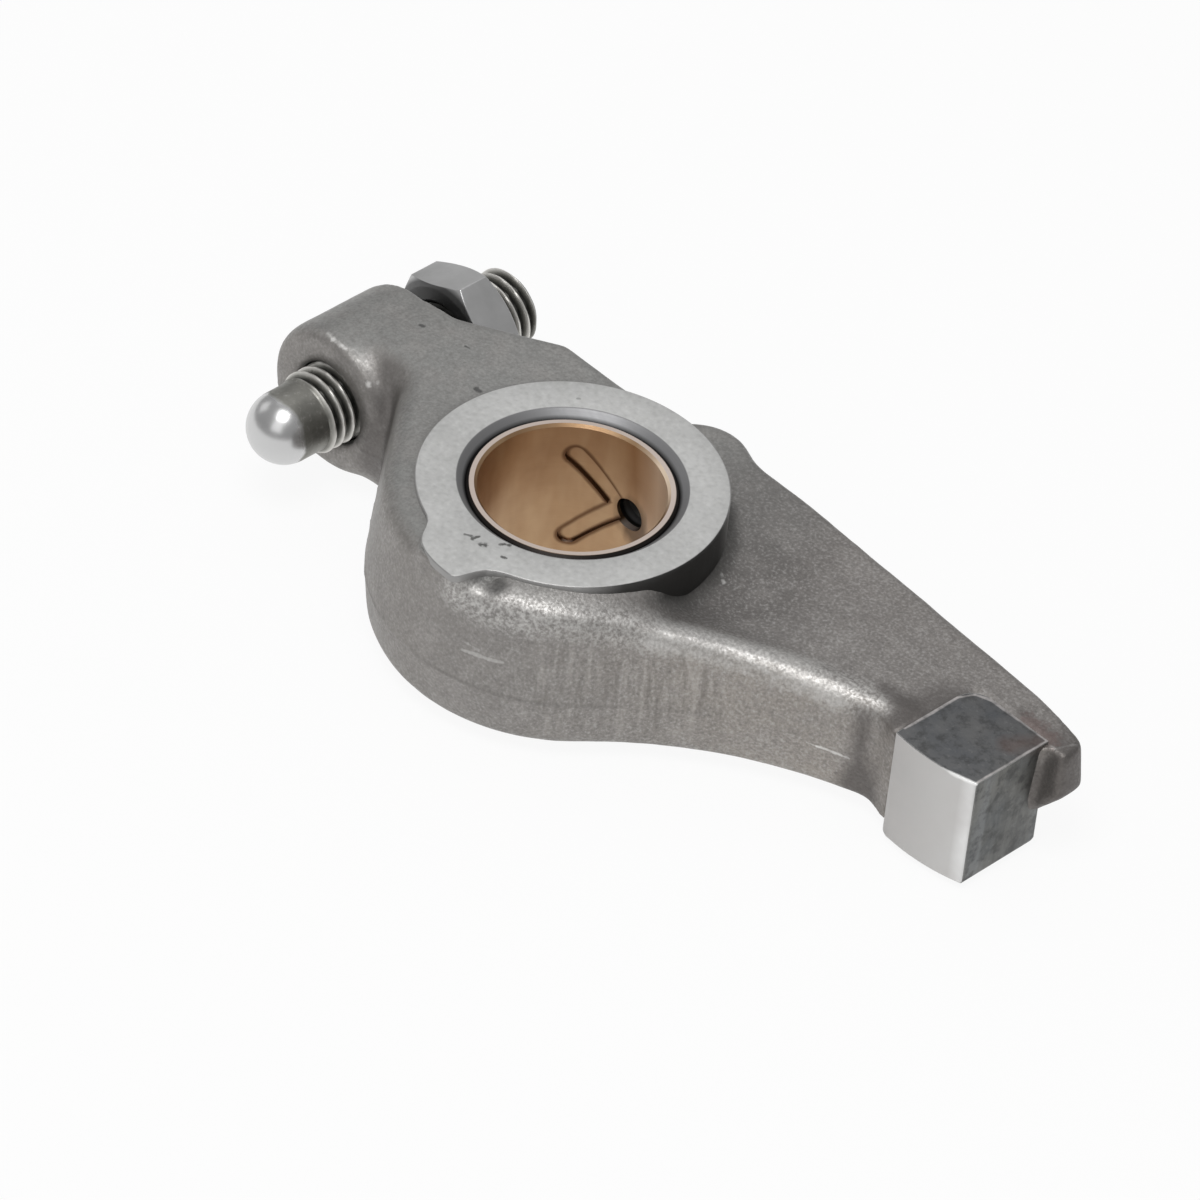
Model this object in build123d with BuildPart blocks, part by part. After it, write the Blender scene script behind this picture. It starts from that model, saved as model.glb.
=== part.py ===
from build123d import *
from math import acos, atan2, cos, degrees, hypot, radians, sin, sqrt, tan
import os

# Engine rocker arm: one forging with a pressed-in shaft bush, a ball-ended adjusting
# screw and its lock nut.  Millimetres.  The origin is on the rocker shaft's axis, in the
# lower thrust face.  +Z runs along the shaft, +X to the valve, and the screw lies along Y
# with its ball at -Y.

# Bearing hub: a ring whose two thrust faces stand proud of the forging
HUB_WIDTH = 26.5
RING_RADIUS = 21.5
SEAT_RADIUS = 14.5
SEAT_CHAMFER = 1.3
HUB_RADIUS = 27.3           # of the forging, in the parting plane
TOP_STEP = 1.0              # from the upper thrust face down to the forging
BOTTOM_STEP = 1.8           # from the lower thrust face up to the forging

LUG_PROUD = 4.4             # clamping lug, past the ring beside the upper thrust face
LUG_ANGLE = -89.3
LUG_WIDTH = 9.2
LUG_FLANK = 2.5             # hollow flanks, up to the ring
LUG_ROUND = 2.0
LUG_DEPTH = 5.0

# Forging dies
PARTING_Z = 10.3
DRAFT = 7.0
FACES_UP = 0.5              # least Z of the normal of a face that looks up
FACES_LEVEL = 0.01          # and most of one that looks sideways
TOP_ROUND = 3.0
BOTTOM_ROUND = 2.4
BACK_ROUND = 1.6

# Valve arm
WEB_DROP = 7.5              # from the upper thrust face down to the web
ARM_LENGTH = 76.6           # from the shaft's axis to the end of the tip
NIB_Y = 18.4                # the tip past the pad lies between these two
TIP_Y = 24.6
TIP_CORNER = 3.6
TIP_THICKNESS = 6.3
TIP_RELIEF = 9.0            # length of the slope under the tip
TAPER_LENGTH = 12.1         # of the back edge before the tip
TAPER_Y = 27.4
ARM_BACK_Y = 30.7           # back edge of the arm, beside the hub
ARM_BACK_X = 16.0
RIB_START_ANGLE = -37.3     # where the front rib leaves the hub
RIB_END_Y = 8.1             # where it ends inside the pad
RIB_SINK = 4.0
CREST_START_X = 10.0        # the crest of the rib falls along an S from here,
CREST_SHORT = 0.9           # to the level of the web just short of the pad
CREST_STEEPNESS = 14.0      # how far the S stays level at its upper end
CREST_TAIL = 30.0           # and at its lower end
CREST_END_RISE = 0.1        # of the crest above the web
WEB_ROUND = 1.2
POCKET_ANGLE = 110.0        # the web is open behind the hub up to here
RIB_WIDTH = 6.7             # from the middle of the rib's front to the foot of its inner slope
RIB_FOOT_ANGLE = 16.5       # the way that the foot runs
RIB_SLOPE = 21.0
SADDLE_ANGLE = 42.0         # end of the pocket against the hub, off the vertical

# Bulge behind the hub, where the oil drilling comes out
BULGE_RADIUS = 8.7
BULGE_REACH = 32.7
BULGE_X = 0.5
BULGE_BLEND = 10.0
OIL_HOLE_RADIUS = 2.5
OIL_HOLE_ANGLE = 94.0

# Valve pad
PAD_LENGTH = 14.0
PAD_INSET = 4.7             # from the end of the tip
PAD_CONTACT_Y = 5.3
PAD_SKEW = 1.2              # the contact face leans back by this much towards the tip
PAD_BACK_Y = 20.2
PAD_BOTTOM_Z = 1.0
PAD_CROWN_RADIUS = 30.0
PAD_PROUD = 0.15            # ground top of the pad above the web
PAD_CORNER = 3.5
PAD_ROUND = 2.5
PAD_END_ROUND = 1.0

# Pushrod arm and its boss
SCREW_X = -44.0
BOSS_RADIUS = 11.4
BOSS_FACE_Y = -4.4
NUT_SEAT_Y = 12.5
BOSS_ROUND = 2.2
NECK_TOP_X = -37.0          # where the flat top of the arm starts falling to the boss
NECK_FRONT = (-33.2, -2.9)
NECK_BACK_Y = 22.4
NECK_BACK_X = -23.3
NECK_ROUND = 5.0
SPOTFACE_RADIUS = 11.0
TAPPED_CHAMFER = 0.6

# Adjusting screw, M12 x 1.75
THREAD_RADIUS = 6.0
THREAD_CLEARANCE = 0.05
BALL_RADIUS = 5.3
BALL_Y = -12.0
THREAD_START_Y = -8.4
SCREW_END_Y = 31.3
SCREW_CHAMFER = 0.9
SOCKET_ACROSS_FLATS = 5.0
SOCKET_DEPTH = 4.5

# Lock nut, slack by NUT_GAP above its seat
NUT_ACROSS_FLATS = 18.0
NUT_THICKNESS = 7.0
NUT_GAP = 5.0
NUT_TURN = 19.7
NUT_FACE_SHARE = 0.95       # of the flats, which the round bearing face spans
NUT_CONE = 30.0

# Shaft bush
BUSH_WALL = 1.5
BUSH_RECESS = 0.75
BUSH_EDGE = 0.4
GROOVE_WIDTH = 2.8
GROOVE_DEPTH = 0.5
GROOVE_APEX = 101.5         # degrees round the bore, where the two grooves meet
GROOVE_END = 132.5          # and where they run out
GROOVE_RISE = 7.2


def turned(length, angle):
    """The point at a length and an angle in degrees from the origin of a plane."""
    return (length * cos(radians(angle)), length * sin(radians(angle)))


# Worked out from the sizes above
MID_Z = HUB_WIDTH / 2
TOP_Z = HUB_WIDTH - TOP_STEP
BOTTOM_Z = BOTTOM_STEP
WEB_Z = HUB_WIDTH - WEB_DROP
PAD_TOP_Z = WEB_Z + PAD_PROUD
BUSH_RADIUS = SEAT_RADIUS - BUSH_WALL
TAPPED_RADIUS = THREAD_RADIUS + THREAD_CLEARANCE
NUT_Y = NUT_SEAT_Y + NUT_GAP
PAD_END_X = ARM_LENGTH - PAD_INSET
PAD_START_X = PAD_END_X - PAD_LENGTH
RIB_END = (PAD_START_X + RIB_SINK, RIB_END_Y)
CREST_END = (PAD_START_X - CREST_SHORT, WEB_Z + CREST_END_RISE)
PARTING_PLANE = Plane.XY.offset(PARTING_Z)
SCREW_PLANE = Plane(origin=(SCREW_X, 0, MID_Z), x_dir=(1, 0, 0), z_dir=(0, 1, 0))
SCREW_SECTION = Plane(origin=(SCREW_X, 0, MID_Z), x_dir=(1, 0, 0), z_dir=(0, 0, 1))
SCREW_AXIS = Axis((SCREW_X, 0, MID_Z), (0, 1, 0))
nut_face_radius = NUT_FACE_SHARE * NUT_ACROSS_FLATS / 2
nut_corner_radius = NUT_ACROSS_FLATS / 2 / cos(radians(30))
nut_chamfer = (nut_corner_radius - nut_face_radius) * tan(radians(NUT_CONE))
groove_span = radians(GROOVE_END - GROOVE_APEX) * BUSH_RADIUS
groove_length = hypot(groove_span, GROOVE_RISE)
groove_slant = degrees(atan2(GROOVE_RISE, groove_span))
groove_middle = (GROOVE_APEX + GROOVE_END) / 2
GROOVE_PLANE = Plane(
    origin=(0, 0, MID_Z),
    x_dir=(*turned(1, groove_middle + 90), 0),
    z_dir=(*turned(1, groove_middle), 0),
)
OIL_PLANE = Plane(origin=(0, 0, MID_Z), z_dir=(*turned(1, OIL_HOLE_ANGLE), 0))
REACH = ARM_LENGTH + BOSS_RADIUS - SCREW_X      # longer than anything that is cut

# The neck's front edge meets the hub circle as a tangent
neck_angle = degrees(atan2(NECK_FRONT[1], NECK_FRONT[0]))
hub_start_angle = neck_angle + degrees(acos(HUB_RADIUS / hypot(*NECK_FRONT)))
draft_slope = tan(radians(DRAFT))
seat_edge_y = NUT_SEAT_Y + (TOP_Z - PARTING_Z) * draft_slope

# ---------------------------------------------------------------- valve pad, part of the rocker body
with BuildPart() as valve_pad:
    with BuildSketch(Plane.XY.offset(PAD_BOTTOM_Z)) as pad_outline:
        with BuildLine():
            contact = RadiusArc(
                (PAD_START_X, PAD_CONTACT_Y),
                (PAD_END_X, PAD_CONTACT_Y + PAD_SKEW),
                -PAD_CROWN_RADIUS,
            )
            Polyline(contact @ 1, (PAD_END_X, PAD_BACK_Y), (PAD_START_X, PAD_BACK_Y), contact @ 0)
        make_face()
        fillet(pad_outline.vertices().sort_by_distance((PAD_START_X, PAD_BACK_Y))[0], PAD_CORNER)
    extrude(amount=PAD_TOP_Z - PAD_BOTTOM_Z)
    floor_edges = valve_pad.faces().sort_by(Axis.Z)[0].edges().sort_by(Axis.Y)[1:]
    fillet(floor_edges.sort_by(Axis.X)[:-1], PAD_ROUND)
    fillet(valve_pad.faces().sort_by(Axis.Z)[0].edges().sort_by(Axis.X)[-1], PAD_END_ROUND)

# ---------------------------------------------------------------- outline of the forging
with BuildSketch() as forged_outline:
    with BuildLine():
        hub_arc = CenterArc((0, 0), HUB_RADIUS, hub_start_angle, RIB_START_ANGLE - hub_start_angle)
        rib_arc = TangentArc(hub_arc @ 1, RIB_END, tangent=hub_arc % 1)
        Polyline(
            rib_arc @ 1,
            (RIB_END[0], NIB_Y),
            (ARM_LENGTH, NIB_Y),
            (ARM_LENGTH, TIP_Y),
            (ARM_LENGTH - TAPER_LENGTH, TAPER_Y),
            (ARM_BACK_X, ARM_BACK_Y),
            (BULGE_X, ARM_BACK_Y),
            (BULGE_X, NECK_BACK_Y),
            (NECK_BACK_X, NECK_BACK_Y),
            (NECK_TOP_X, seat_edge_y),
            (SCREW_X, seat_edge_y),
            (SCREW_X, NECK_FRONT[1]),
            NECK_FRONT,
            hub_arc @ 0,
        )
    make_face()
    tip = forged_outline.vertices().group_by(Axis.X)[-1].sort_by(Axis.Y)[-1]
    fillet(tip, TIP_CORNER)
    with Locations((BULGE_X, BULGE_REACH - BULGE_RADIUS)):
        Circle(BULGE_RADIUS)
    bulge_end = forged_outline.vertices().filter_by_position(Axis.X, BULGE_X, ARM_BACK_X - BULGE_BLEND / 2)
    fillet(bulge_end.sort_by(Axis.Y)[-1], BULGE_BLEND)
    neck_corner = forged_outline.vertices().filter_by_position(Axis.X, NECK_BACK_X, NECK_BACK_X)
    fillet(neck_corner, NECK_ROUND)

# ---------------------------------------------------------------- rocker body
with BuildPart() as rocker_body:
    # the forging, drafted both ways from the parting plane
    for die_face, lean in ((TOP_Z, DRAFT), (BOTTOM_Z, -DRAFT)):
        with BuildSketch(PARTING_PLANE):
            add(forged_outline.sketch)
        extrude(amount=die_face - PARTING_Z)
        upright_walls = rocker_body.faces().filter_by(lambda face: abs(face.normal_at().Z) < FACES_LEVEL)
        draft(upright_walls, PARTING_PLANE, lean)

    # its side view: the arm falls to the pushrod boss at one end and thins to the tip
    with BuildSketch(Plane.XZ) as side_view:
        with BuildLine():
            Line((NECK_TOP_X, BOTTOM_Z), (NECK_TOP_X, TOP_Z))
        with Locations((SCREW_X, MID_Z)):
            Circle(BOSS_RADIUS)
        make_hull()
        with BuildLine():
            crest = Bezier(
                (CREST_START_X, TOP_Z),
                (CREST_START_X + CREST_STEEPNESS, TOP_Z),
                (CREST_END[0] - CREST_TAIL, CREST_END[1]),
                CREST_END,
            )
            Polyline(
                crest @ 1,
                (REACH, CREST_END[1]),
                (REACH, WEB_Z - TIP_THICKNESS),
                (ARM_LENGTH, WEB_Z - TIP_THICKNESS),
                (ARM_LENGTH - TIP_RELIEF, BOTTOM_Z),
                (NECK_TOP_X, BOTTOM_Z),
                (NECK_TOP_X, TOP_Z),
                crest @ 0,
            )
        make_face()
    extrude(amount=REACH, both=True, mode=Mode.INTERSECT)

    # rounded shoulder of the hub and crest of the rib, and rounded belly
    upper_faces = rocker_body.faces().filter_by(lambda face: face.normal_at().Z > FACES_UP)
    shoulder = upper_faces.edges().filter_by(Axis.Y, reverse=True).filter_by_position(Axis.Z, WEB_Z, HUB_WIDTH)
    shoulder = shoulder.filter_by_position(Axis.X, SCREW_X, RIB_END[0])
    fillet(shoulder.filter_by_position(Axis.Y, -HUB_RADIUS, RIB_END[1]).sort_by(Axis.X), TOP_ROUND)
    belly = rocker_body.faces().sort_by(Axis.Z)[0]
    belly_edges = belly.edges().filter_by(Axis.Y, reverse=True)
    fillet(belly_edges.filter_by_position(Axis.Y, -HUB_RADIUS, 0).sort_by(Axis.X), BOTTOM_ROUND)
    belly_back = rocker_body.faces().sort_by(Axis.Z)[0].edges().filter_by(Axis.Y, reverse=True)
    fillet(belly_back.filter_by_position(Axis.Y, PAD_BACK_Y - WEB_DROP, REACH).sort_by(Axis.X), BACK_ROUND)

    # the web of the valve arm, sunk behind the front rib
    foot_way = Vector(*turned(1, RIB_FOOT_ANGLE))
    foot_side = Vector(*turned(1, RIB_FOOT_ANGLE + 90))
    foot_offset = (rib_arc @ 0.5).dot(foot_side) + RIB_WIDTH
    foot = foot_side * foot_offset + foot_way * sqrt(RING_RADIUS**2 - foot_offset**2)
    with BuildSketch(Plane.XY.offset(WEB_Z)):
        with BuildLine():
            Polyline(
                (0, 0),
                foot,
                foot + foot_way * REACH,
                (REACH, REACH),
                turned(REACH, POCKET_ANGLE),
                close=True,
            )
        make_face()
    extrude(amount=WEB_DROP, mode=Mode.SUBTRACT)
    rib_plane = Plane(
        origin=(foot.X, foot.Y, WEB_Z),
        x_dir=foot_way,
        z_dir=Vector(0, sin(radians(RIB_SLOPE)), cos(radians(RIB_SLOPE))).rotate(Axis.Z, RIB_FOOT_ANGLE),
    )
    with BuildSketch(rib_plane):
        Rectangle(REACH, REACH, align=(Align.MIN, Align.MAX))
    extrude(amount=WEB_DROP, taper=-SADDLE_ANGLE, mode=Mode.SUBTRACT)

    # back edge of the web
    web = rocker_body.faces().filter_by_position(Axis.Z, WEB_Z, WEB_Z).sort_by(SortBy.AREA)[-1]
    web_back = web.edges().filter_by_position(Axis.Y, TAPER_Y - WEB_ROUND, REACH)
    fillet(web_back.filter_by_position(Axis.X, ARM_BACK_X, REACH), WEB_ROUND)

    # pushrod boss, with its round rim towards the ball
    with BuildSketch(SCREW_PLANE.offset(BOSS_FACE_Y)):
        Circle(BOSS_RADIUS)
    extrude(amount=NUT_SEAT_Y - BOSS_FACE_Y)
    rim = rocker_body.edges().filter_by(GeomType.CIRCLE)
    fillet(rim.filter_by_position(Axis.Y, BOSS_FACE_Y, BOSS_FACE_Y), BOSS_ROUND)

    # seat of the nut, faced right across the boss and sunk round into the arm, and the tapped hole
    with BuildSketch(SCREW_PLANE.offset(NUT_SEAT_Y)):
        Circle(SPOTFACE_RADIUS)
        with Locations((NECK_TOP_X - SCREW_X, 0)):
            Rectangle(REACH, REACH, align=(Align.MAX, Align.CENTER))
    extrude(amount=REACH, mode=Mode.SUBTRACT)
    with BuildSketch(SCREW_PLANE.offset(BOSS_FACE_Y)):
        Circle(TAPPED_RADIUS)
    extrude(amount=NUT_SEAT_Y - BOSS_FACE_Y, mode=Mode.SUBTRACT)
    hole_rims = rocker_body.edges().filter_by(GeomType.CIRCLE).filter_by(
        lambda edge: abs(edge.radius - TAPPED_RADIUS) < THREAD_CLEARANCE)
    chamfer(hole_rims, TAPPED_CHAMFER)

    # the ground pad grows out of the end of the arm
    add(valve_pad)

    # ring of the hub, the clamping lug beside it and the seat of the bush
    with BuildSketch():
        Circle(RING_RADIUS)
    extrude(amount=HUB_WIDTH)
    with BuildSketch(Plane.XY.offset(HUB_WIDTH).rotated((0, 0, LUG_ANGLE))) as lug:
        Circle(RING_RADIUS)
        Rectangle(RING_RADIUS + LUG_PROUD, LUG_WIDTH, align=(Align.MIN, Align.CENTER))
        fillet(lug.vertices().group_by(Axis.X)[-2], LUG_FLANK)
        fillet(lug.vertices().group_by(Axis.X)[-1].sort_by(Axis.Y)[0], LUG_ROUND)
    extrude(amount=-LUG_DEPTH)
    with BuildSketch():
        Circle(SEAT_RADIUS)
    extrude(amount=HUB_WIDTH, mode=Mode.SUBTRACT)
    seat_rims = rocker_body.edges().filter_by(GeomType.CIRCLE).filter_by(
        lambda edge: abs(edge.radius - SEAT_RADIUS) < SEAT_CHAMFER)
    chamfer(seat_rims, SEAT_CHAMFER)
    with BuildSketch(OIL_PLANE):
        Circle(OIL_HOLE_RADIUS)
    extrude(amount=REACH, mode=Mode.SUBTRACT)

# ---------------------------------------------------------------- oil grooves of the shaft bush
# two grooves run round the bore and meet in a V beside the oil hole
with BuildPart() as oil_grooves:
    with BuildSketch(GROOVE_PLANE):
        with Locations((0, GROOVE_RISE / 2)):
            SlotCenterToCenter(groove_length, GROOVE_WIDTH, rotation=groove_slant)
        with Locations((0, -GROOVE_RISE / 2)):
            SlotCenterToCenter(groove_length, GROOVE_WIDTH, rotation=-groove_slant)
    extrude(amount=REACH)
    with BuildSketch():
        Circle(BUSH_RADIUS + GROOVE_DEPTH)
    extrude(amount=HUB_WIDTH, mode=Mode.INTERSECT)

# ---------------------------------------------------------------- shaft bush
with BuildPart() as shaft_bush:
    with BuildSketch(Plane.XY.offset(BUSH_RECESS)):
        Circle(SEAT_RADIUS)
        Circle(BUSH_RADIUS, mode=Mode.SUBTRACT)
    extrude(amount=HUB_WIDTH - 2 * BUSH_RECESS)
    chamfer(shaft_bush.edges().filter_by(GeomType.CIRCLE), BUSH_EDGE)

    add(oil_grooves, mode=Mode.SUBTRACT)
    with BuildSketch(OIL_PLANE):
        Circle(OIL_HOLE_RADIUS)
    extrude(amount=REACH, mode=Mode.SUBTRACT)

# ---------------------------------------------------------------- adjusting screw
with BuildPart() as adjusting_screw:
    with BuildSketch(SCREW_SECTION):
        with BuildLine():
            ball = CenterArc((0, BALL_Y), BALL_RADIUS, -90, 90)
            Polyline(
                ball @ 1,
                (BALL_RADIUS, THREAD_START_Y),
                (THREAD_RADIUS, THREAD_START_Y + THREAD_RADIUS - BALL_RADIUS),
                (THREAD_RADIUS, SCREW_END_Y - SCREW_CHAMFER),
                (THREAD_RADIUS - SCREW_CHAMFER, SCREW_END_Y),
                (0, SCREW_END_Y),
                ball @ 0,
            )
        make_face()
    revolve(axis=SCREW_AXIS)
    with BuildSketch(SCREW_PLANE.offset(SCREW_END_Y)):
        RegularPolygon(SOCKET_ACROSS_FLATS / 2, 6, major_radius=False)
    extrude(amount=-SOCKET_DEPTH, mode=Mode.SUBTRACT)

# ---------------------------------------------------------------- lock nut
with BuildPart() as lock_nut:
    with BuildSketch(SCREW_PLANE.offset(NUT_Y)):
        RegularPolygon(NUT_ACROSS_FLATS / 2, 6, major_radius=False, rotation=-NUT_TURN)
        Circle(TAPPED_RADIUS, mode=Mode.SUBTRACT)
    extrude(amount=NUT_THICKNESS)
    # both faces are turned to a cone, which leaves a round bearing face
    with BuildSketch(SCREW_SECTION):
        with BuildLine():
            Polyline(
                (0, NUT_Y),
                (nut_face_radius, NUT_Y),
                (nut_corner_radius, NUT_Y + nut_chamfer),
                (nut_corner_radius, NUT_Y + NUT_THICKNESS - nut_chamfer),
                (nut_face_radius, NUT_Y + NUT_THICKNESS),
                (0, NUT_Y + NUT_THICKNESS),
                close=True,
            )
        make_face()
    revolve(axis=SCREW_AXIS, mode=Mode.INTERSECT)
    nut_mouths = lock_nut.edges().filter_by(GeomType.CIRCLE).filter_by(
        lambda edge: edge.radius < TAPPED_RADIUS + THREAD_CLEARANCE)
    chamfer(nut_mouths, TAPPED_CHAMFER)

# ---------------------------------------------------------------- one STEP file for each piece
os.makedirs("parts", exist_ok=True)
rocker_body.part.label = "rocker_body"
shaft_bush.part.label = "shaft_bush"
adjusting_screw.part.label = "adjusting_screw"
lock_nut.part.label = "lock_nut"
export_step(rocker_body.part, "parts/rocker_body.step")
export_step(shaft_bush.part, "parts/shaft_bush.step")
export_step(adjusting_screw.part, "parts/adjusting_screw.step")
export_step(lock_nut.part, "parts/lock_nut.step")
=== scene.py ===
import math

import bmesh
import bpy
import numpy as np
from mathutils import Matrix, Vector, noise


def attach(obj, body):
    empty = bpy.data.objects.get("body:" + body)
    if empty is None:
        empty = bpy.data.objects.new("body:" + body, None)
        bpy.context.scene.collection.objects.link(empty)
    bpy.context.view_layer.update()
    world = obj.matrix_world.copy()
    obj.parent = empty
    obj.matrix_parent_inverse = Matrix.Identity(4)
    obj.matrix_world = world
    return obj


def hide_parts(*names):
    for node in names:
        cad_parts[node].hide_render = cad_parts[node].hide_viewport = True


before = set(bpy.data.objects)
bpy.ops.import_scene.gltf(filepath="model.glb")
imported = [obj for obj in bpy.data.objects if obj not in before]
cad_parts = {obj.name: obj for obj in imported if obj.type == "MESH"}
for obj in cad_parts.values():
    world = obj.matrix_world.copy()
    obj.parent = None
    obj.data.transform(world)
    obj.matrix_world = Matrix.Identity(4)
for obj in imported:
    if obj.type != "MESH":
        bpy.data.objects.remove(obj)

MM = 0.001                      # sizes and places below are in millimetres unless they say so
scene = bpy.context.scene
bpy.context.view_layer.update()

# ---------------------------------------------------------------- camera
# A long lens on a tall tripod looks down on the arm from its valve side, and is
# turned a few degrees about its own axis.
CAMERA_HEIGHT = math.radians(41.0)
CAMERA_BEARING = math.radians(42.3)
CAMERA_ROLL = math.radians(6.3)
CAMERA_DISTANCE = 1217.9 * MM
LENS = 270.0
SENSOR = 36.0
NEAREST, FARTHEST = 0.05, 20    # metres
HUB_TOP = Vector((0, 0, 26.5)) * MM
HUB_ACROSS = -26.9 / 1200       # of the hub's top centre from the middle of the view,
HUB_UP = 117.4 / 1200           # as shares of the view's width

towards_camera = Vector((
    math.sin(CAMERA_BEARING) * math.cos(CAMERA_HEIGHT),
    -math.cos(CAMERA_BEARING) * math.cos(CAMERA_HEIGHT),
    math.sin(CAMERA_HEIGHT),
))
level_right = Vector((math.cos(CAMERA_BEARING), math.sin(CAMERA_BEARING), 0))
level_up = towards_camera.cross(level_right)
view_right = level_right * math.cos(CAMERA_ROLL) + level_up * math.sin(CAMERA_ROLL)
view_up = level_up * math.cos(CAMERA_ROLL) - level_right * math.sin(CAMERA_ROLL)
view_width = CAMERA_DISTANCE * SENSOR / LENS
camera_place = (
    HUB_TOP
    + towards_camera * CAMERA_DISTANCE
    - view_right * HUB_ACROSS * view_width
    - view_up * HUB_UP * view_width
)
camera_data = bpy.data.cameras.new("camera")
camera_data.lens = LENS
camera_data.sensor_width = SENSOR
camera_data.clip_start = NEAREST
camera_data.clip_end = FARTHEST
camera = bpy.data.objects.new("camera", camera_data)
camera_turn = Matrix((view_right, view_up, towards_camera)).transposed()
camera.matrix_world = Matrix.Translation(camera_place) @ camera_turn.to_4x4()
scene.collection.objects.link(camera)
scene.camera = camera
scene.view_settings.view_transform = "Standard"

# ---------------------------------------------------------------- table and studio light
# A sheet of white card is the table, in a white room. One soft box hangs almost overhead,
# and three weaker ones stand in front, behind and to the left.
TABLE_HALF = 4.0                # metres
TABLE_DROP = 0.05 * MM          # under the ground face, so that the two never coincide
TABLE_WHITE = (0.82, 0.82, 0.82, 1)
TABLE_GLOW = 0.92
WHITE = (1, 1, 1, 1)
ROOM_LIGHT = 0.36
SOFT_BOXES = (
    # name, way to the light, distance, width and height in metres, watts
    ("overhead", (0.12, -0.30, 0.94), 0.9, 0.40, 0.40, 3.8),
    ("front", (0.25, -0.78, 0.57), 1.2, 0.7, 0.7, 1.2),
    ("back", (-0.45, 0.50, 0.74), 1.1, 0.9, 0.9, 1.2),
    ("left", (-0.86, -0.20, 0.47), 1.2, 0.5, 0.5, 0.5),
)


def node(tree, kind, sockets=None, **settings):
    """Adds a shader node, with its settings, and its sockets set or linked by name."""
    made = tree.nodes.new(kind)
    for name, value in settings.items():
        setattr(made, name, value)
    for name, value in (sockets or {}).items():
        if isinstance(value, bpy.types.NodeSocket):
            tree.links.new(value, made.inputs[name])
        else:
            made.inputs[name].default_value = value
    return made


def reckoned(tree, kind, a, b=0.0):
    """The number that ADD, SUBTRACT, MULTIPLY, MINIMUM, MAXIMUM or ABSOLUTE makes of others."""
    return node(tree, "ShaderNodeMath", {0: a, 1: b}, operation=kind).outputs[0]


def new_material(name):
    """An empty node material with its output, ready to be wired."""
    material = bpy.data.materials.new(name)
    material.use_nodes = True
    material.node_tree.nodes.clear()
    output = material.node_tree.nodes.new("ShaderNodeOutputMaterial")
    return material, material.node_tree, output


table_card, tree, output = new_material("table_card")
ray = node(tree, "ShaderNodeLightPath").outputs
seen = reckoned(tree, "MAXIMUM", ray["Is Camera Ray"], ray["Is Glossy Ray"])
seen = reckoned(tree, "MAXIMUM", seen, ray["Is Transmission Ray"])
card = node(tree, "ShaderNodeBsdfDiffuse", {"Color": TABLE_WHITE})
glow = node(tree, "ShaderNodeEmission", {"Color": WHITE, "Strength": 1.0})
share = reckoned(tree, "MULTIPLY", seen, TABLE_GLOW)
sheet = node(tree, "ShaderNodeMixShader", {0: share, 1: card.outputs[0], 2: glow.outputs[0]})
tree.links.new(sheet.outputs[0], output.inputs[0])

table_corners = [(x * TABLE_HALF, y * TABLE_HALF, -TABLE_DROP)
                 for x, y in ((-1, -1), (1, -1), (1, 1), (-1, 1))]
table_mesh = bpy.data.meshes.new("table")
table_mesh.from_pydata(table_corners, [], [(0, 1, 2, 3)])
table_mesh.materials.append(table_card)
table = bpy.data.objects.new("table", table_mesh)
scene.collection.objects.link(table)

for name, way, distance, width, height, watts in SOFT_BOXES:
    lamp_data = bpy.data.lights.new(name, "AREA")
    lamp_data.shape = "RECTANGLE"
    lamp_data.size = width
    lamp_data.size_y = height
    lamp_data.energy = watts
    lamp = bpy.data.objects.new(name, lamp_data)
    lamp.location = Vector(way).normalized() * distance
    lamp.rotation_euler = Vector(way).to_track_quat("Z", "Y").to_euler()
    scene.collection.objects.link(lamp)

room = bpy.data.worlds.new("room")
room.use_nodes = True
tree = room.node_tree
tree.nodes.clear()
ray = node(tree, "ShaderNodeLightPath").outputs
lit = node(tree, "ShaderNodeBackground", {"Color": WHITE, "Strength": ROOM_LIGHT})
backdrop = node(tree, "ShaderNodeBackground", {"Color": WHITE, "Strength": 1.0})
walls = node(tree, "ShaderNodeMixShader", {
    0: ray["Is Camera Ray"], 1: lit.outputs[0], 2: backdrop.outputs[0],
})
node(tree, "ShaderNodeOutputWorld", {0: walls.outputs[0]})
scene.world = room

# ---------------------------------------------------------------- rocker body: the forging
# Closed-die steel forging, shot-blasted to a fine sparkling grain, with soft corners where
# the steel filled the die and a ground-off flash line round its middle. It carries the hub
# ring, the valve pad and the screw's boss, and is tinted by heat next to the hardened pad.
FORGING_CELL = 0.45
CORNER_ROUNDS, SOFT_ROUNDS = 12, 30
EASE = 0.5
# the places that are rounded a lot, and how far that reaches: fully, and at all
SADDLE_RADIUS, SADDLE_Z, SADDLE_FADE = 22.5, 20.0, (4, 8)
NECK_X, NECK_Y, NECK_FADE = -37.0, -2.0, (6, 12)
SHOULDER_RADIUS, SHOULDER_Z, SHOULDER_FADE = 26.0, 24.0, (2.5, 5.5)
BROAD_LUMP, BROAD_PITCH = 0.07, 0.13
FINE_LUMP, FINE_PITCH = 0.03, 0.42
PARTING_Z = 10.3
FLASH_RISE, FLASH_PITCH = 0.16, 0.3
FLASH_HALF = 0.5
SWELL_X = (51.0, 57.5)          # the wall starts and ends its swell to the pad's front edge
SWELL_Y = 5.9
SWELL_LIMIT_X, SWELL_LIMIT_Y = 58.5, 5.0
LUG_DIMPLE = np.array([6.6, -22.2, 25.2])
LUG_DIMPLE_FADE = (0.2, 3.2)
LUG_DIMPLE_DEPTH = 0.5
RING_RADIUS = 21.5
HUB_WIDTH = 26.5
RING_WALL_HIDE = 0.35           # how far the forging keeps under the ring's wall,
FACE_HIDE = 0.45                # and under its faces
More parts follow.
